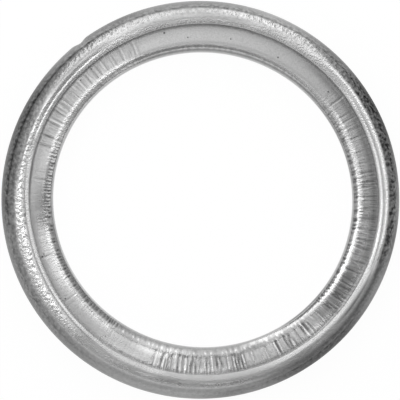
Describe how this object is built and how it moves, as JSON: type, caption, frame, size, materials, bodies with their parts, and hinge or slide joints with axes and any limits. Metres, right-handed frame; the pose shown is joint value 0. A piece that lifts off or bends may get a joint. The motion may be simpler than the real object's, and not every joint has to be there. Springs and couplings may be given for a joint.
{
  "type": "drain plug sealing ring",
  "caption": "Round hollow crush ring folded from one strip of sheet metal, with an outer bead, an annular seam on its top face and a flat seat below, to seal a drain plug.",
  "frame": {"origin": "centre of the bore in the plane of the flat seat that the ring lies on", "axes": "+Z along the bore, from the flat seat to the face with the seam, and the nick in the outer wall lies at 128 degrees from +X towards +Y"},
  "size_m": [0.0214, 0.0214, 0.0023],
  "materials": {
    "sheet_metal": "bare soft sheet, tumbled to a satin, with drawing marks on the flange and a dull outer wall"
  },
  "bodies": {
    "root": {"sealing_ring": "sheet_metal"}
  },
  "joints": []
}
